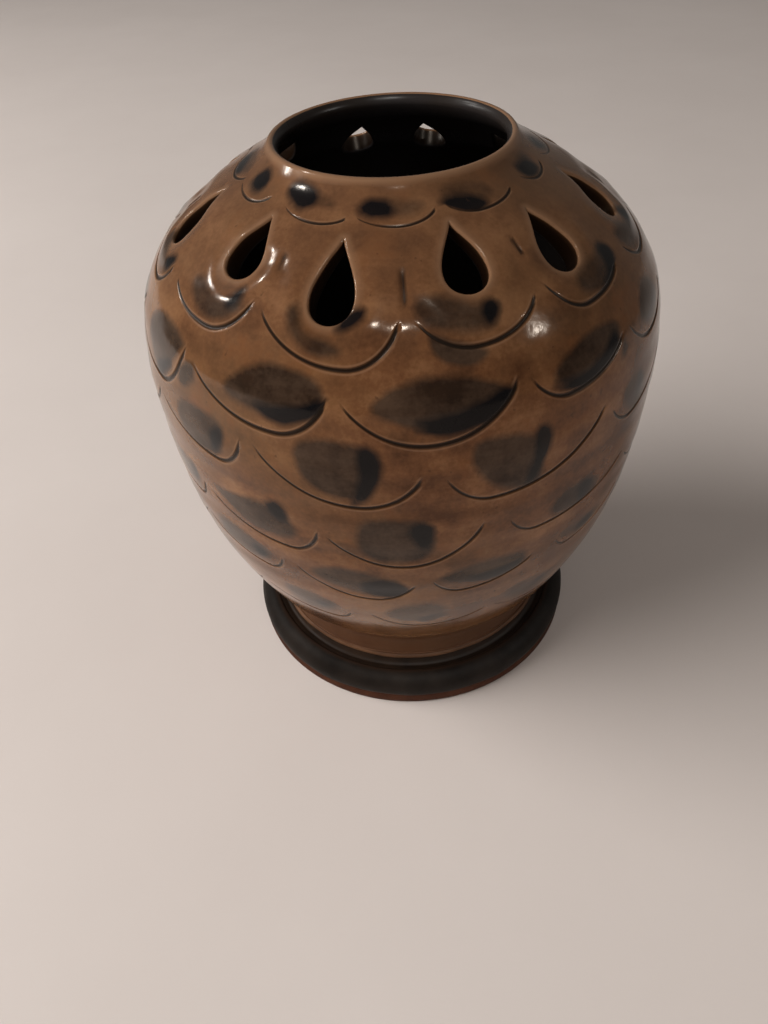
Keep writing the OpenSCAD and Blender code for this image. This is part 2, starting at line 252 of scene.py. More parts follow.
clay = clay_curve(CURVE_STEPS)
along = np.gradient(clay, axis=0)
normal = np.column_stack([-along[:, 1], along[:, 0]])
normal /= np.linalg.norm(normal, axis=1)[:, None]
normal[0] = LIP_OUT
outer = clay + GLAZE * normal
path = np.concatenate([[0], np.cumsum(np.linalg.norm(np.diff(outer, axis=0), axis=1))])
wall = LIP_T + (WALL_T - LIP_T) * np.clip((LIP_MID[1] - clay[:, 1]) / LIP_TAPER, 0, 1)
inner = clay - (wall + GLAZE)[:, None] * normal


def on_path(values, s):
    return np.interp(s, path, values)


def path_at(z):
    return np.interp(-z, -clay[:, 1], path)


def swing(az, middle):
    """Degrees from a middle to an azimuth, between -180 and 180."""
    return (az - middle + 180) % 360 - 180


def place(r, z, az):
    a = np.radians(az)
    return np.column_stack([r * np.sin(a), -r * np.cos(a), z + 0 * a]) * MM


def to_line(line, x, y):
    """Distance of places from a line of straight stretches."""
    p = np.column_stack([x, y])
    best = np.full(len(p), 1e9)
    for a, b in zip(line, line[1:]):
        t = np.clip((p - a) @ (b - a) / ((b - a) @ (b - a)), 0, 1)
        best = np.minimum(best, np.hypot(*(p - a - t[:, None] * (b - a)).T))
    return best


def to_patch(outline, x, y):
    """Distance of places from a closed outline, negative inside it."""
    ring = np.vstack([outline, outline[:1]]).astype(float)
    within = np.zeros(len(x), bool)
    for (ax, ay), (bx, by) in zip(ring, ring[1:]):
        if ay != by:
            within ^= ((y >= ay) != (y >= by)) & (x < (bx - ax) * (y - ay) / (by - ay) + ax)
    return to_line(ring, x, y) * np.where(within, -1, 1)


def softened(outline, spread=1.0):
    """An outline with its corners cut off twice, made larger about its middle."""
    ring = np.array(outline, float)
    ring = ring.mean(axis=0) + spread * (ring - ring.mean(axis=0))
    for _ in range(2):
        after = np.roll(ring, -1, axis=0)
        ring = np.stack([0.75 * ring + 0.25 * after, 0.25 * ring + 0.75 * after], axis=1).reshape(-1, 2)
    return ring


def bow(t, b):
    """Rise of half a scale's line from its lowest point (0) to its end (1), and its steepness."""
    root = np.sqrt(1 - (b * t) ** 2)
    full = 1 - math.sqrt(1 - b * b)
    return (1 - root) / full, b * b * t / root / full


# The scales: each row is one scalloped line round the pot
class Row:
    def __init__(self, cut, ink, radius, seen, wash, pool):
        self.cut, self.ink, self.radius = cut, ink, radius
        count = SCALES_ROUND - len(seen)
        start, width = seen[-1][4], (seen[0][0] + 360 - seen[-1][4]) / count
        deep = np.mean([s[3] for s in seen])
        rise = deep - np.mean([(s[1] + s[5]) / 2 for s in seen])
        scales = list(seen)
        for i in range(count):
            a, low = start + i * width, deep + rng.normal(0, LOW_SPREAD)
            left, middle, right = (rng.uniform(*r) for r in (RISE_RANGE, MIDDLE_RANGE, RISE_RANGE))
            ends = (a + HALF_GAP, low - left * rise), (a + width - HALF_GAP, low - right * rise)
            scales.append((*ends[0], a + middle * width, low, *ends[1]))
        self.left, self.left_s, self.low, self.low_s, self.right, self.right_s = np.array(scales).T
        pick = list(range(len(seen))) + list(rng.integers(0, len(seen), count))
        self.wash = [softened(wash[i], WASH_GROWTH) for i in pick]
        self.pool = [softened(pool[i], POOL_GROWTH) for i in pick]

    def at(self, az):
        """Place of the line, its steepness, and the share across its scale: -1 to 1, and more in the gap."""
        turn = self.left[0] + (az - self.left[0]) % 360
        k = np.searchsorted(self.left, turn, side="right") - 1
        after = np.append(self.left[1:], self.left[0] + 360)[k]
        after_s = np.roll(self.left_s, -1)[k]
        off = turn - self.low[k]
        half_l, half_r = self.low[k] - self.left[k], self.right[k] - self.low[k]
        rise_l, rise_r = self.low_s[k] - self.left_s[k], self.low_s[k] - self.right_s[k]
        tl, tr = np.clip(-off / half_l, 0, 1), np.clip(off / half_r, 0, 1)
        gap = np.clip((turn - self.right[k]) / (after - self.right[k]), 0, 1)
        up_l, steep_l = bow(tl, BOW_LEFT)
        up_r, steep_r = bow(tr, BOW_RIGHT)
        s = self.low_s[k] - np.where(off < 0, rise_l * up_l, rise_r * up_r)
        s += gap * (after_s - self.right_s[k])
        slope = np.where(off < 0, rise_l * steep_l / half_l, rise_r * steep_r / half_r)
        slope = np.where(gap > 0, (after_s - self.right_s[k]) / (after - self.right[k]), slope)
        return s, slope / (math.radians(1) * self.radius), np.where(off < 0, -tl, tr + gap)


rows = [Row(**r) for r in ROWS]


def line_ends(u):
    return smooth(-1.0, -0.85, u) * (1 - smooth(0.94, 1.0, u))


def incised(az, s):
    """Depth of the cut lines, how dark the glaze lies in them, and how thin it is on their edges."""
    depth, dark, edge = (np.zeros_like(s) for _ in range(3))
    for row in rows:
        line, slope, u = row.at(az)
        d = np.abs(s - line) / np.sqrt(1 + slope**2)
        press = line_ends(u) * (0.35 + 0.65 * smooth(-0.9, 0.1, u))
        d /= (0.1 + 1.05 * row.cut) * (0.42 + 0.58 * press)
        depth += LINE_DEPTH * row.cut * press * (1 - smooth(0.4, 1.0, d))
        dark = np.maximum(dark, smooth(0, 0.3, press) * (1 - smooth(0.5, 1.05, d)))
        edge = np.maximum(edge, press * np.exp(-(((d - 1.3) / 0.3) ** 2)))
    for az0, z0, z1, lean in TICKS:
        half = (path_at(z1) - path_at(z0)) / 2
        v = s - path_at(z0) - half
        d = np.radians(swing(az, az0)) * on_path(outer[:, 0], s) - lean * v
        g = (1 - smooth(0.5, 1.0, np.abs(v / half))) * np.minimum(1, 1.4 * np.exp(-((d / TICK_W) ** 2)))
        depth += TICK_DEPTH * g
        dark = np.maximum(dark, TICK_DARK * g)
    return depth, dark, edge


# The vents: teardrops drawn on the wall
class Vent:
    def __init__(self, number, mark):
        aside, shift, extra = mark
        self.az = (360 / VENTS * number + aside) % 360
        self.s = path_at(VENT_Z) - shift
        a = np.linspace(0, math.pi, VENT_POINTS)
        x = np.sin(a) * np.sin(a / 2) ** VENT_POINT
        self.side = np.column_stack([VENT_W / 2 * x / x.max(), (VENT_L + extra) / 2 * np.cos(a)])
        self.run = np.append(0, np.cumsum(np.linalg.norm(np.diff(self.side, axis=0), axis=1)))

    def outline(self, share):
        """Points down the right side, from the tip (0) to the lowest point (1), by length along it."""
        run = share * self.run[-1]
        return np.interp(run, self.run, self.side[:, 0]), np.interp(run, self.run, self.side[:, 1])

    def on_wall(self, x, y):
        s = self.s - y
        return self.az + np.degrees(x / on_path(outer[:, 0], s)), s

    def distance(self, az, s):
        """Distance of places from the vent's edge, or a large number well away from it."""
        x = np.abs(np.radians(swing(az, self.az)) * on_path(outer[:, 0], s))
        y = self.s - s
        gap = np.full(np.shape(x), FAR_OFF)
        near = (x < VENT_FIELD[0]) & (np.abs(y) < VENT_FIELD[1])
        if near.any():
            gap[near] = to_line(self.side, x[near], y[near])
        return gap


vents = [Vent(i, m) for i, m in enumerate(VENT_MARKS)]


def vent_gap(az, s):
    return np.min([v.distance(az, s) for v in vents], axis=0)


def thrown(az, s):
    """Low rings left by the potter's fingers, and the slight unevenness of a hand-made pot."""
    a = np.radians(az)
    rings = 0.05 * np.sin(s / 1.35 + 0.6 * np.sin(a)) + 0.06 * np.sin(s / 2.9 + 1.3 + 0.4 * np.cos(a))
    rings = rings * smooth(6, 20, s) * (1 - smooth(115, 138, s))
    return rings + 0.18 * np.sin(2 * a + 0.5) + 0.10 * np.sin(3 * a + s / 40)


def rounded(gap, radius):
    near = np.clip(radius - np.maximum(gap, 0), 0, radius)
    return radius - np.sqrt(radius**2 - near**2)


def painted(az, s):
    """Cover of the thin dark wash, and of its blue-black pools: 1 well inside, 0.5 on the outline."""
    wash = np.zeros_like(s)
    pool = np.zeros_like(s)

    def brush(store, row, k, outline, soft, cover):
        x = np.radians(swing(az, row.low[k])) * row.radius
        y = row.low_s[k] - s
        low, high = outline.min(axis=0) - soft, outline.max(axis=0) + soft
        near = (x > low[0]) & (x < high[0]) & (y > low[1]) & (y < high[1])
        if near.any():
            dab = np.clip(0.5 - to_patch(outline, x[near], y[near]) / soft, 0, 1)
            store[near] = np.maximum(store[near], dab * np.broadcast_to(cover, s.shape)[near])

    for row in rows:
        room = smooth(-0.5, 0.4, row.at(az)[0] - s)
        for k in range(SCALES_ROUND):
            brush(wash, row, k, row.wash[k], BRUSH_SOFT, room * row.ink)
            brush(pool, row, k, row.pool[k], BRUSH_SOFT, room * (0.5 + 0.5 * row.ink))
    for i, k, outline in SMEARS:
        brush(wash, rows[i], k, softened(outline), SMEAR_SOFT, 0.9)
    return wash, pool


# A mesh that grows ring by ring
class Shell:
    def __init__(self):
        self.points, self.faces, self.slots = [], [], []
        self.marks = {n: [] for n in ("line", "wash", "pool", "worn")}
        self.count = 0

    def add(self, points, **marks):
        n = len(points)
        self.points.append(points)
        for name, store in self.marks.items():
            store.append(np.broadcast_to(marks.get(name, 0.0), n).astype(float))
        index = np.arange(self.count, self.count + n)
        self.count += n
        return index

    def band(self, a, b, slot):
        """Quads between two rings, b lying below a on the outside."""
        quads = np.column_stack([a, b, np.roll(b, -1), np.roll(a, -1)])
        self.faces.extend(quads.tolist())
        self.slots.extend([slot] * len(quads))

    def bands(self, rings, slot, up=False):
        """Bands between rings that follow each other down the outside, or up it."""
        for a, b in zip(rings, rings[1:]):
            self.band(*((b, a) if up else (a, b)), slot)

    def fan(self, ring, centre, slot):
        tri = np.column_stack([ring, np.roll(ring, -1), np.full(len(ring), centre)])
        self.faces.extend(tri.tolist())
        self.slots.extend([slot] * len(tri))

    def make(self, name, materials):
        mesh = bpy.data.meshes.new(name)
        mesh.from_pydata(np.vstack(self.points).tolist(), [], self.faces)
        for m in materials:
            mesh.materials.append(m)
        mesh.polygons.foreach_set("material_index", self.slots)
        mesh.polygons.foreach_set("use_smooth", [True] * len(self.faces))
        for mark, store in self.marks.items():
            data = np.concatenate(store)
            if data.any():
                mesh.attributes.new(mark, "FLOAT", "POINT").data.foreach_set("value", data)
        mesh.validate()
        mesh.update()
        piece = bpy.data.objects.new(name, mesh)
        bpy.context.scene.collection.objects.link(piece)
        return piece


def raised(surface, az, s, h):
    """Points on a turned surface, moved out by h."""
    r = on_path(surface[:, 0], s) + h * on_path(normal[:, 0], s)
    z = on_path(surface[:, 1], s) + h * on_path(normal[:, 1], s)
    return place(r, z, az)


def outside(shell, az, s):
    """Points of the glazed outside, with its cuts, rounded vents and brushwork."""
    gap = vent_gap(az, s)
    depth, dark, edge = incised(az, s)
    wash, pool = painted(az, s)
    h = thrown(az, s) - depth * smooth(0.5, 2.5, gap) - rounded(gap, VENT_ROUND)
    h += RIDGE_H * smooth(19, 27, s) * np.exp(-(((gap - RIDGE_AT) / RIDGE_W) ** 2))
    h -= DRAWN_IN * (1 - smooth(0.0, DRAWN_W, gap))
    worn = np.maximum(0.75 * (1 - smooth(0.2, 2.4, gap)), 1 - smooth(0.0, 1.6, s))
    worn = np.maximum(worn, 0.7 * edge)
    return shell.add(raised(outer, az, s, h), line=dark, wash=wash, pool=pool, worn=worn)


def inside(shell, az, s):
    """Points of the dark inside, with its rounded vents and the swell behind the lip."""
    h = rounded(vent_gap(az, s), VENT_ROUND_IN) - (LIP_IN - LIP_EDGE) * (1 - smooth(0.0, 10.0, s))
    # The line mark of 1 here darkens the glazed vent walls where they meet the inside: partly darker glaze,
    # partly painted shade
    return shell.add(raised(inner, az, s, h), line=1.0)


def between(a, b, count):
    return [a + (b - a) * i / (count + 1) for i in range(1, count + 1)]


# The belt of vents: points up the sides of a vent's stretch, then the rings from the vent's edge out to it,
# first at distances in mm, each capped at a share more than the last, and then at shares of what is left
SIDE_POINTS = 22
NEAR = np.array([0.08, 0.20, 0.36, 0.60, 1.0, 1.6, 2.6])
NEAR_SHARE = 0.06
FAR = np.array([0.16, 0.32, 0.48, 0.62, 0.74, 0.84, 0.93])


def round_stretch(above, down, below, up, walk, middle):
    """Values round a stretch of the belt: from above its vent, down the right side and up the left one."""
    return np.concatenate([above[walk[middle:]], down, below[walk[::-1]], up[::-1], above[walk[:middle]]])


def pierced(shell, points_on, top, bottom, top_s, bottom_s, cuts):
    """Rings of points from each vent's edge out to its stretch of the belt between two lines."""
    sides = []
    for c in cuts:
        s = top_s[c] + (bottom_s[c] - top_s[c]) * np.arange(1, SIDE_POINTS) / SIDE_POINTS
        az = np.full(len(s), AZIMUTHS[c])
        sides.append((points_on(shell, az, s), az, s))
    stretches = []
    for n, vent in enumerate(vents):
        left, right = cuts[n], cuts[(n + 1) % VENTS]
        span = (right - left) % COLUMNS
        walk = (left + np.arange(span + 1)) % COLUMNS
        middle = int(round(((vent.az - AZIMUTHS[left]) % 360) / STEP))
        edges = [(top, bottom), (AZIMUTHS, AZIMUTHS), (top_s, bottom_s)]
        index, az, s = (
            round_stretch(above, down, below, up, walk, middle)
            for (above, below), down, up in zip(edges, sides[(n + 1) % VENTS], sides[n])
        )
        az = vent.az + swing(az, vent.az)
        turn = (span - middle + 1) + (SIDE_POINTS - 1) + (span - middle)
        rest = len(index) - turn
        x1, y1 = vent.outline(np.arange(turn) / turn)
        x2, y2 = vent.outline(np.arange(rest, 0, -1) / rest)
        hole_az, hole_s = vent.on_wall(np.append(x1, -x2), np.append(y1, y2))
        reach = np.hypot(np.radians(az - hole_az) * on_path(outer[:, 0], s), s - hole_s)
        near = np.minimum(NEAR[:, None] / reach, np.arange(1, len(NEAR) + 1)[:, None] * NEAR_SHARE)
        shares = np.vstack([np.zeros(len(reach)), near, near[-1] + (1 - near[-1]) * FAR[:, None]])
        rings = [points_on(shell, hole_az + (az - hole_az) * w, hole_s + (s - hole_s) * w) for w in shares]
        stretches.append(rings + [index])
    return stretches


# The body, from its lines of points to its parts. Its material slots are these three.
GLAZE_SLOT, LINER_SLOT, CLAY_SLOT = 0, 1, 2


def level(s):
    return np.full(COLUMNS, s)


def beside(values, reach):
    """The values of each column and of its neighbours."""
    return [np.roll(values, k) for k in range(-reach, reach + 1)]


def across(row):
    """Rings on both sides of a row's line, farther apart where it is steep."""
    line, slope, u = row.at(AZIMUTHS)
    steep = 1 + (np.sqrt(1 + slope**2) - 1) * line_ends(u)
    steep = np.mean(beside(steep, 3), axis=0)
    return [line + d * steep for d in ACROSS]


def stretch_ends(first):
    """The columns where the belt is parted between vents: where two scales of the row below meet."""
    row = rows[1]
    gaps = (row.right + np.append(row.left[1:], row.left[0] + 360)) / 2
    before = np.array([gaps[np.argmin((v.az - gaps) % 360)] for v in vents])
    near = np.round(before / STEP).astype(int)[:, None] + np.arange(-4, 5)
    return near[np.arange(VENTS), np.argmin(first[near % COLUMNS], axis=1)] % COLUMNS


def vent_walls(shell, out_rings, in_rings):
    points = np.vstack(shell.points)
    for out, back in zip(out_rings, in_rings):
        shell.bands(out, GLAZE_SLOT, up=True)
        shell.bands(back, LINER_SLOT)
        # Rings through the cut wall, darker towards the inside: partly darker glaze, partly painted shade
        # inside the hole
        through = [out[0]]
        for share, dark in VENT_WALL_GLAZE_AND_SHADE:
            through.append(shell.add(points[out[0]] * (1 - share) + points[back[0]] * share, line=dark))
        shell.bands(through + [back[0]], GLAZE_SLOT)


def lip(shell, first):
    """Rolls the lip over from the first ring outside, and gives the first ring inside."""
    rings = [first]
    for turn in np.radians([20, 42, 64, 86, 108, 132, 156]):
        side = LIP_EDGE if math.cos(turn) > 0 else LIP_IN
        r, z = LIP_MID + side * math.cos(turn) * LIP_OUT + LIP_EDGE * math.sin(turn) * LIP_UP
        wave = thrown(AZIMUTHS, level(0.0)) * max(0.0, math.cos(turn / 2))
        rings.append(shell.add(place(r + wave, z, AZIMUTHS), worn=1.0))
    rings.append(inside(shell, AZIMUTHS, level(0.0)))
    top = len(rings) // 2
    shell.bands(rings[:top + 1], GLAZE_SLOT, up=True)
    shell.bands(rings[top:], LINER_SLOT, up=True)
    return rings[-1]


def chamber(shell, lip_in, in_top, in_low, top_s, low_s):
    """The inside from the lip to the belt of vents, and from there down to the floor."""
    down = [inside(shell, AZIMUTHS, s) for s in between(level(0.0), top_s, NECK_RINGS)]
    floor_z = JOINT_Z + FLOOR_T
    last = path_at(HIP_Z)
    sink = [inside(shell, AZIMUTHS, s) for s in between(low_s, level(last), WELL_RINGS)]
    turn_r, turn_z = on_path(inner[:, 0], last), on_path(inner[:, 1], last)
    floor_r = turn_r - (turn_z - floor_z)
    for share in (0.0, 0.3, 0.6, 0.85):
        r, z = turn_r + (floor_r - turn_r) * share, turn_z + (floor_z - turn_z) * share
        sink.append(shell.add(place(r, z, AZIMUTHS)))
    # The floor is a little uneven
    for share in (0.93, 0.7, 0.45, 0.2):
        z = floor_z + GLAZE + 0.3 * math.sin(share * 40)
        sink.append(shell.add(place(floor_r * share, z, AZIMUTHS)))
    shell.bands([lip_in] + down + [in_top], LINER_SLOT, up=True)
    shell.bands([in_low] + sink, LINER_SLOT, up=True)
    shell.fan(sink[-1], shell.add(np.array([[0, 0, (floor_z + GLAZE) * MM]]))[0], LINER_SLOT)


def underside(shell, last):
    """The bare base, hidden on the seat and in the hollow of the foot."""
    base = [last]
    for r, z in ((JOINT_R - 0.1, 0.3), (JOINT_R - 0.6, 0.02), (41, 0), (26, 0), (9, 0)):
        base.append(shell.add(place(r, JOINT_Z + z, AZIMUTHS)))
    shell.bands(base, CLAY_SLOT)
    shell.fan(base[-1][::-1], shell.add(np.array([[0, 0, JOINT_Z * MM]]))[0], CLAY_SLOT)


def vase_body(materials):
    shell = Shell()
    belts = [across(row) for row in rows]
    first = belts[1][0]
    upper = [level(0.0)] + between(level(0.0), belts[0][0], LIP_RINGS) + belts[0]
    clear = np.min(beside(first, 4), axis=0)
    skirt = np.mean(beside(clear, 2), axis=0) - SKIRT_CLEAR
    lower = [skirt] + between(skirt, first, SKIRT_RINGS) + belts[1]
    for a, b in zip(belts[1:], belts[2:]):
        lower += between(a[-1], b[0], ROW_RINGS) + b
    end = level(path_at(JOINT_Z + BEAD_R))
    lower += between(belts[-1][-1], end, LOW_RINGS) + [end]
    upper_i = [outside(shell, AZIMUTHS, s) for s in upper]
    lower_i = [outside(shell, AZIMUTHS, s) for s in lower]
    shell.bands(upper_i, GLAZE_SLOT)
    shell.bands(lower_i, GLAZE_SLOT)
    cuts = stretch_ends(first)
    out_rings = pierced(shell, outside, upper_i[-1], lower_i[0], upper[-1], skirt, cuts)
    in_top, in_low = inside(shell, AZIMUTHS, upper[-1]), inside(shell, AZIMUTHS, skirt)
    in_rings = pierced(shell, inside, in_top, in_low, upper[-1], skirt, cuts)
    vent_walls(shell, out_rings, in_rings)
    lip_in = lip(shell, upper_i[0])
    chamber(shell, lip_in, in_top, in_low, upper[-1], skirt)
    underside(shell, lower_i[-1])
    return shell.make("glazed_body", materials)


def turned(name, outline, materials, slots=None, wave=None, marks=None):
    """Closed ring turned from (radius, height) points, counter-clockwise with the radius to the right."""
    shell = Shell()
    columns = np.arange(COLUMNS // 2) * STEP * 2
    rings = []
    for n, (r, z) in enumerate(outline):
        dr, dz = wave(n, columns) if wave else (0, 0)
        points = place(r + dr + 0 * columns, z + dz, columns)
        rings.append(shell.add(points, worn=marks[n] if marks else 0.0))
    for n, a in enumerate(rings):
        shell.band(rings[(n + 1) % len(rings)], a, slots[n] if slots else 0)
    return shell.make(name, materials)


# Angles on the roll of the foot, from level: the bare side, the thin glaze of the web, and the black band
SIDE_FROM, WEB_FROM, WEB_TO, ROLL_STEP = -26, 70, 126, 8
BAND_FROM, BAND_TO, BAND_POINTS = -20, 96, 24
# The band's thickness, how far its edges stand off the roll, and how deep its back lies in it
BAND_T, BAND_GAP, BAND_SINK = 0.42, 0.02, 0.4
# How far the slip's bead reaches in over the seat
BEAD_IN = 0.8


def roll(angle, radius=ROLL_R):
    a = math.radians(angle)
    return FOOT_R - ROLL_R + radius * math.cos(a), ROLL_Z + radius * math.sin(a)


def foot(clay_mat, glaze_mat):
    bore, top = JOINT_R - SEAT_W, JOINT_Z - SLIP_T
    bare = [(bore, FOOT_EDGE), (bore + 0.25, 0.3), (bore + FOOT_EDGE, 0)]
    bare += [(FOOT_R - 2.4, 0), (FOOT_R - 0.9, 0), (FOOT_R - 0.3, 0.25)]
    bare += [(FOOT_R, FOOT_EDGE), (FOOT_R, 1.6), (FOOT_R - 0.15, 2.6)]
    bare += [roll(a) for a in range(SIDE_FROM, WEB_FROM, ROLL_STEP)]
    glazed = [roll(a) for a in range(WEB_FROM, WEB_TO, ROLL_STEP)]
    glazed += [(JOINT_R + 0.6, 12.1), (JOINT_R + 0.15, 12.9), (JOINT_R, top)]
    hidden = [((JOINT_R + bore) / 2, top), (bore, top), (bore, 7)]
    slots = [0] * len(bare) + [1] * len(glazed) + [0] * len(hidden)
    return turned("foot_ring_clay", bare + glazed + hidden, [clay_mat, glaze_mat], slots)


def foot_band(glaze_mat):
    angles = np.linspace(BAND_FROM, BAND_TO, BAND_POINTS)
    middle, half = (BAND_TO + BAND_FROM) / 2, (BAND_TO - BAND_FROM) / 2
    thick = BAND_T * np.clip(1 - ((angles - middle) / half) ** 2, 0, 1) ** 0.3
    front = [roll(a, ROLL_R + t + BAND_GAP) for a, t in zip(angles, thick)]
    back = [roll(a, ROLL_R - BAND_SINK) for a in angles[::-1]]
    fade = list(smooth(66, 94, angles)) + [1.0] * len(back)

    def wave(n, az):
        """Drips along the lower edge."""
        low = {0: 1.0, 1: 0.5, 2: 0.2, 2 * len(front) - 1: 1.0}.get(n, 0.0)
        a = np.radians(az)
        drip = 0.30 * np.sin(5 * a + 1) + 0.22 * np.sin(11 * a + 2) + 0.16 * np.sin(23 * a)
        return -0.2 * drip * low, drip * low

    return turned("foot_band_glaze", front + back, [glaze_mat], wave=wave, marks=fade)


def bead(slip_mat):
    bore, mid, half = JOINT_R - SEAT_W, JOINT_Z - SLIP_T / 2, SLIP_T / 2
    arc = np.radians(np.arange(-110, 115, 15))
    outline = [(bore, mid - half), (JOINT_R - BEAD_IN, mid - half)]
    outline += [(JOINT_R + BEAD_R * math.cos(a), mid + BEAD_R * math.sin(a)) for a in arc]
    outline += [(JOINT_R - BEAD_IN, mid + half), (bore, mid + half)]

    def wave(n, az):
        """Unevenness of the rounded part that shows, between the ends of its arc."""
        a = np.radians(az)
        reach = 0.12 * np.sin(7 * a) + 0.08 * np.sin(17 * a + 1)
        return (reach, 0.4 * reach) if 2 < n < len(arc) + 1 else (0, 0)

    return turned("slip_bead", outline, [slip_mat], wave=wave)


# Materials
class Nodes:
    """Small helper that adds and links shader nodes."""

    def __init__(self, name):
        self.material = bpy.data.materials.new(name)
        self.material.use_nodes = True
        self.tree = self.material.node_tree
        self.shader = self.tree.nodes["Principled BSDF"]
        self.where = self.add("ShaderNodeTexCoord").outputs["Object"]

    def add(self, kind, **values):
        node = self.tree.nodes.new(kind)
        for key, value in values.items():
            setattr(node, key, value)
        return node

    def link(self, value, socket):
        if isinstance(value, bpy.types.NodeSocket):
            self.tree.links.new(value, socket)
        else:
            socket.default_value = value

    def set(self, **values):
        for key, value in values.items():
            self.link(value, self.shader.inputs[key.replace("_", " ")])

    def mark(self, name):
        return self.add("ShaderNodeAttribute", attribute_name=name).outputs["Fac"]

    def height(self):
        node = self.add("ShaderNodeSeparateXYZ")
        self.link(self.where, node.inputs[0])
        return node.outputs["Z"]

    def stretch(self, x, y, z):
        node = self.add("ShaderNodeMapping")
        self.link(self.where, node.inputs["Vector"])
        node.inputs["Scale"].default_value = (x, y, z)
        return node.outputs["Vector"]

    def noise(self, scale, detail=3.0, rough=0.55, where=None):
        node = self.add("ShaderNodeTexNoise")
        self.link(where or self.where, node.inputs["Vector"])
        node.inputs["Scale"].default_value = scale
        node.inputs["Detail"].default_value = detail
        node.inputs["Roughness"].default_value = rough
        return node.outputs["Fac"]

    def math(self, kind, a, b):
        node = self.add("ShaderNodeMath", operation=kind)
        for value, socket in zip((a, b), node.inputs):
            self.link(value, socket)
        return node.outputs[0]

    def shift(self, value, noise, amount):
        """A value moved up and down by a noise."""
        return self.math("ADD", value, self.math("MULTIPLY", self.math("SUBTRACT", noise, 0.5), amount))

    def ramp(self, value, *stops):
        node = self.add("ShaderNodeValToRGB")
        while len(node.color_ramp.elements) < len(stops):
            node.color_ramp.elements.new(0.5)
        for element, (at, colour) in zip(node.color_ramp.elements, stops):
            element.position = at
            element.color = (*colour, 1) if isinstance(colour, tuple) else (colour, colour, colour, 1)
        self.link(value, node.inputs[0])
        return node.outputs[0]

    def mix(self, share, a, b):
        node = self.add("ShaderNodeMix", data_type="RGBA")
        self.link(share, node.inputs[0])
        for value, socket in ((a, node.inputs[6]), (b, node.inputs[7])):
            self.link((*value, 1) if isinstance(value, tuple) else value, socket)
        return node.outputs[2]

    def span(self, value, low, high, start=0.0, end=1.0):
        node = self.add("ShaderNodeMapRange")
        for v, key in ((value, 0), (start, 1), (end, 2), (low, 3), (high, 4)):
            self.link(v, node.inputs[key])
        return node.outputs[0]

    def bump(self, height, strength, distance):
        node = self.add("ShaderNodeBump")
        node.inputs["Strength"].default_value = strength
        node.inputs["Distance"].default_value = distance
        self.link(height, node.inputs["Height"])
        self.set(Normal=node.outputs[0])


def brown_glaze():
    n = Nodes("brown_glaze")
    cloud = n.noise(26, 3, 0.55)
    mottle = n.noise(95, 4, 0.65)
    bands = n.noise(45, 3, 0.5, n.stretch(0.7, 0.7, 4))
    grain = n.noise(900, 2, 0.6)
    tone = n.math("ADD", n.math("MULTIPLY", cloud, 0.38), n.math("MULTIPLY", mottle, 0.34))
    tone = n.shift(n.math("ADD", tone, n.math("MULTIPLY", bands, 0.28)), grain, 0.12)
    colour = n.ramp(
        tone, (0.39, (0.066, 0.026, 0.011)), (0.50, (0.134, 0.057, 0.024)), (0.61, (0.222, 0.106, 0.048)),
    )
    olive = n.ramp(n.noise(15, 4, 0.6), (0.46, 0.0), (0.64, 0.5))
    colour = n.mix(olive, colour, (0.135, 0.075, 0.035))
    rust = n.ramp(n.noise(60, 4, 0.65), (0.54, 0.0), (0.68, 0.5))
    colour = n.mix(rust, colour, (0.165, 0.060, 0.020))
    # Paler towards the lip, and darker down at the waist: painted shade in the recess under the body's
    # overhang
    colour = n.mix(n.span(n.height(), 0.0, 0.35, 0.140, 0.168), colour, (0.165, 0.088, 0.048))
    colour = n.mix(n.span(n.height(), 0.8, 0.0, 0.021, 0.030), colour, (0.052, 0.021, 0.010))
    # Thin places over edges fire to a lighter brown
    colour = n.mix(n.math("MULTIPLY", n.mark("worn"), 0.8), colour, (0.245, 0.137, 0.078))
    # The brushed wash, and its pools
    streak = n.noise(70, 4, 0.6, n.stretch(0.7, 0.7, 2.6))
    edge = n.noise(170, 3, 0.55)
    wash = n.shift(n.shift(n.mark("wash"), streak, 0.35), edge, 0.25)
    wash = n.ramp(wash, (0.28, 0.0), (0.78, 0.88))
    patch = n.math("ADD", n.math("MULTIPLY", streak, 0.5), n.math("MULTIPLY", mottle, 0.5))
    patch = n.shift(patch, grain, 0.14)
    ink = n.ramp(patch, (0.40, (0.011, 0.0074, 0.0055)), (0.62, (0.050, 0.033, 0.023)))
    colour = n.mix(wash, colour, ink)
    pool = n.ramp(n.shift(n.mark("pool"), edge, 0.40), (0.15, 0.0), (0.64, 0.97))
    colour = n.mix(pool, colour, (0.0030, 0.0034, 0.0048))
    # Glaze and oxide gather in the cut lines; the same mark also darkens the vents' cut walls, partly darker
    # glaze and partly painted shade
    colour = n.mix(n.math("MULTIPLY", n.mark("line"), 0.97), colour, (0.0070, 0.0034, 0.0018))
    # Iron specks, and a duller surface in the lines and down at the waist
    speck = n.ramp(n.noise(650, 1, 0.4), (0.74, 0.0), (0.80, 0.4))
    colour = n.mix(speck, colour, (0.03, 0.016, 0.01))
    low = n.span(n.height(), 0.3, 0.0, 0.020, 0.032)
    rough = n.math("ADD", low, n.math("MULTIPLY", n.mark("line"), 0.2))
    n.set(Base_Color=colour, Roughness=n.math("ADD", n.span(n.noise(60, 3), 0.10, 0.18), rough))
    n.set(Specular_IOR_Level=0.5, Specular_Tint=(0.34, 0.30, 0.26, 1))
    n.bump(n.math("ADD", n.noise(130, 2, 0.5), n.math("MULTIPLY", grain, 0.12)), 0.24, 0.0004)
    return n.material


def dark_liner():
    n = Nodes("dark_liner")
    colour = n.ramp(n.noise(35, 4), (0.35, (0.0190, 0.0140, 0.0110)), (0.65, (0.0240, 0.0210, 0.0220)))
    n.set(Base_Color=colour, Roughness=n.span(n.noise(80, 3), 0.22, 0.36), Specular_IOR_Level=0.2)
    n.bump(n.noise(120, 2), 0.3, 0.0004)
    return n.material


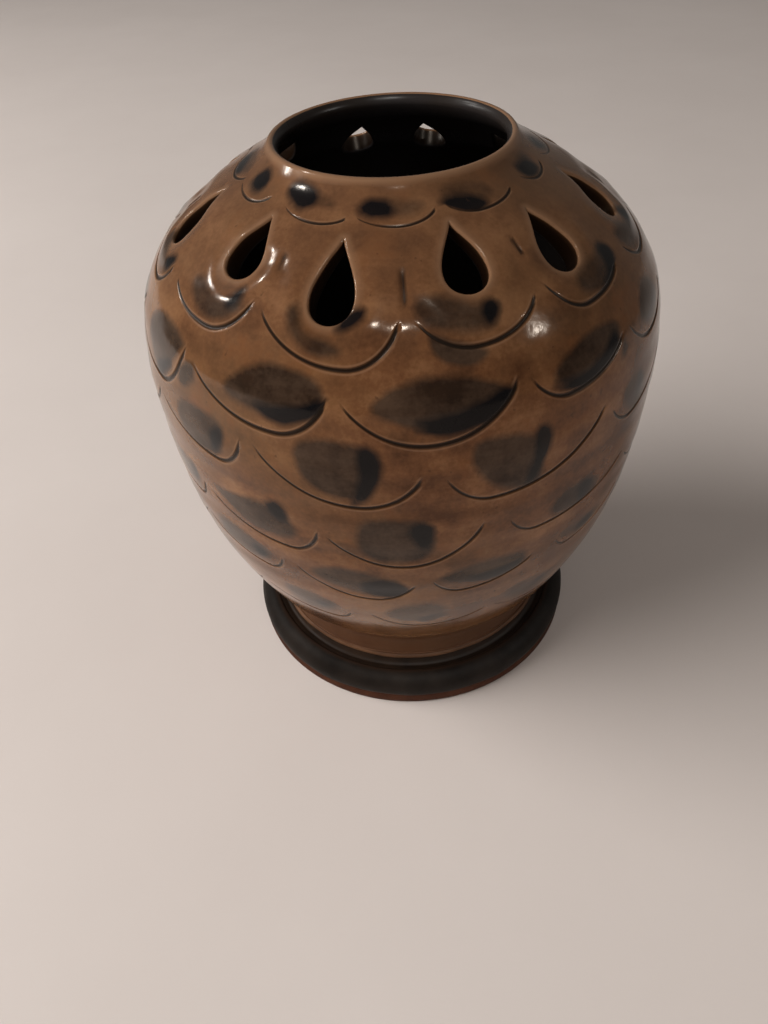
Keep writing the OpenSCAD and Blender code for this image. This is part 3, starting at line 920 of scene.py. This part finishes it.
def black_band():
    n = Nodes("black_band")
    colour = n.ramp(n.noise(70, 5, 0.6), (0.35, (0.0060, 0.0040, 0.0030)), (0.70, (0.0190, 0.0140, 0.0110)))
    # The glaze thins out into the brown towards the joint
    fade = n.ramp(n.shift(n.mark("worn"), n.noise(90, 3), 0.4), (0.2, 0.0), (0.9, 1.0))
    colour = n.mix(fade, colour, (0.024, 0.013, 0.008))
    n.set(Base_Color=colour, Roughness=n.span(n.noise(110, 4), 0.45, 0.68), Specular_IOR_Level=0.16)
    n.bump(n.noise(260, 3), 0.4, 0.0004)
    return n.material


def bare_clay(name, dark, light):
    n = Nodes(name)
    colour = n.ramp(n.noise(120, 5, 0.65), (0.3, dark), (0.7, light))
    speck = n.ramp(n.noise(900, 1, 0.4), (0.66, 0.0), (0.72, 0.7))
    colour = n.mix(speck, colour, tuple(c * 0.35 for c in dark))
    n.set(Base_Color=colour, Roughness=n.span(n.noise(300, 3), 0.62, 0.85), Specular_IOR_Level=0.2)
    n.bump(n.noise(1400, 3, 0.6), 0.5, 0.0003)
    return n.material


def thin_glaze(name, dark, light):
    n = Nodes(name)
    colour = n.ramp(n.noise(90, 4), (0.3, dark), (0.7, light))
    n.set(Base_Color=colour, Roughness=n.span(n.noise(110, 3), 0.45, 0.6), Specular_IOR_Level=0.25)
    n.bump(n.noise(200, 2), 0.4, 0.0003)
    return n.material


def pale_floor():
    n = Nodes("pale_floor")
    colour = n.ramp(n.noise(6, 5, 0.6), (0.3, (0.765, 0.695, 0.665)), (0.7, (0.805, 0.735, 0.705)))
    n.set(Base_Color=colour, Roughness=n.span(n.noise(40, 3), 0.5, 0.62), Specular_IOR_Level=0.3)
    n.bump(n.noise(900, 3), 0.1, 0.0002)
    return n.material


# The pieces, and what they stand for in the CAD
body_coats = [brown_glaze(), dark_liner()]
body = vase_body(body_coats + [bare_clay("body_clay", (0.10, 0.045, 0.026), (0.17, 0.085, 0.05))])
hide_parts("thrown_body", "outer_glaze", "liner_glaze")
foot_clay = bare_clay("foot_clay", (0.038, 0.012, 0.006), (0.072, 0.026, 0.013))
ring = foot(foot_clay, thin_glaze("web_glaze", (0.010, 0.006, 0.004), (0.026, 0.014, 0.008)))
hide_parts("foot_ring")
band = foot_band(black_band())
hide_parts("foot_glaze")
slip = bead(thin_glaze("slip_glaze", (0.070, 0.032, 0.016), (0.125, 0.060, 0.030)))
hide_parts("luting_slip")
for piece in (body, ring, band, slip):
    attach(piece, "root")


# Stage, in metres: a round floor, and the height on the pot that the lamps point at
TABLE_R, TABLE_POINTS, AIM_Z = 6, 96, 0.12
# Where the photograph was taken from, found by fitting the outline, the lip and the foot: the camera's
# angles, its distance from the axis and its height in mm, its focal length and the photograph's height in
# pixels, and the sensor's width in mm
CAM_PITCH, CAM_TILT, CAM_TURN, CAM_STAND = (math.radians(a) for a in (43.225, -4.085, 15.778, 13.4))
CAM_OUT, CAM_UP = 215.09, 239.37
FOCAL_PX, PHOTO_PX = 800, 1024
SENSOR = 36


def floor():
    mesh = bpy.data.meshes.new("floor")
    turns = np.linspace(0, math.tau, TABLE_POINTS, endpoint=False)
    edge = [(TABLE_R * math.cos(a), TABLE_R * math.sin(a), 0) for a in turns]
    mesh.from_pydata(edge, [], [range(TABLE_POINTS)])
    mesh.materials.append(pale_floor())
    piece = bpy.data.objects.new("floor", mesh)
    bpy.context.scene.collection.objects.link(piece)


def put(thing, x, y, z, at):
    """Stands a lamp or the camera at a place, with its own axes along three directions."""
    axes = np.column_stack([x, y, z])
    thing.matrix_world = Matrix([(*row, p) for row, p in zip(axes, at)] + [(0, 0, 0, 1)])
    bpy.context.scene.collection.objects.link(thing)


def lamp(name, az, el, distance, size, watts, shine=True, colour=(1.0, 0.965, 0.92)):
    """A round lamp that makes highlights, or without shine one that lights everything but makes none."""
    light = bpy.data.lights.new(name, "AREA")
    light.shape = "DISK"
    light.size = size
    light.energy = watts
    light.color = colour
    thing = bpy.data.objects.new(name, light)
    thing.visible_glossy = shine
    thing.visible_diffuse = not shine
    a, e = math.radians(az), math.radians(el)
    back = np.array([math.sin(a) * math.cos(e), -math.cos(a) * math.cos(e), math.sin(e)])
    right = np.cross([0, 0, 1], back) / math.cos(e)
    put(thing, right, np.cross(back, right), back, back * distance + np.array([0, 0, AIM_Z]))


def camera():
    right = np.array([math.cos(CAM_TURN), math.sin(CAM_TURN), 0])
    flat = np.array([-math.sin(CAM_TURN), math.cos(CAM_TURN), 0])
    ahead = flat * math.cos(CAM_PITCH) - np.array([0, 0, math.sin(CAM_PITCH)])
    up = np.cross(right, ahead)
    data = bpy.data.cameras.new("camera")
    data.lens = SENSOR * FOCAL_PX / PHOTO_PX
    data.sensor_width = SENSOR
    data.clip_start = 0.01
    thing = bpy.data.objects.new("camera", data)
    x = right * math.cos(CAM_TILT) + up * math.sin(CAM_TILT)
    y = -right * math.sin(CAM_TILT) + up * math.cos(CAM_TILT)
    at = np.array([CAM_OUT * math.sin(CAM_STAND), -CAM_OUT * math.cos(CAM_STAND), CAM_UP]) * MM
    put(thing, x, y, -ahead, at)
    bpy.context.scene.camera = thing


def room():
    world = bpy.data.worlds.new("room")
    world.use_nodes = True
    back = world.node_tree.nodes["Background"]
    back.inputs["Color"].default_value = (1.0, 0.93, 0.86, 1)
    back.inputs["Strength"].default_value = 0.14
    bpy.context.scene.world = world
    bpy.context.scene.view_settings.view_transform = "Standard"


floor()
# Two broad soft lights for the shading, and small lamps for the highlights: azimuth and elevation in
# degrees, distance and size in metres, and watts
lamp("soft_light", -68, 31, 1.7, 1.7, 37, shine=False)
lamp("soft_fill", 20, 18, 1.7, 1.4, 7, shine=False, colour=(1.0, 0.92, 0.84))
lamp("left_lamp", -86, 32, 1.6, 0.09, 4)
lamp("high_lamp", -95, 45, 1.6, 0.07, 3)
lamp("side_lamp", -101, 28, 1.6, 0.05, 1.2)
lamp("top_lamp", 14, 61.5, 1.8, 0.12, 8)
lamp("right_lamp", 81, 33.5, 1.8, 0.06, 3.4)
camera()
room()
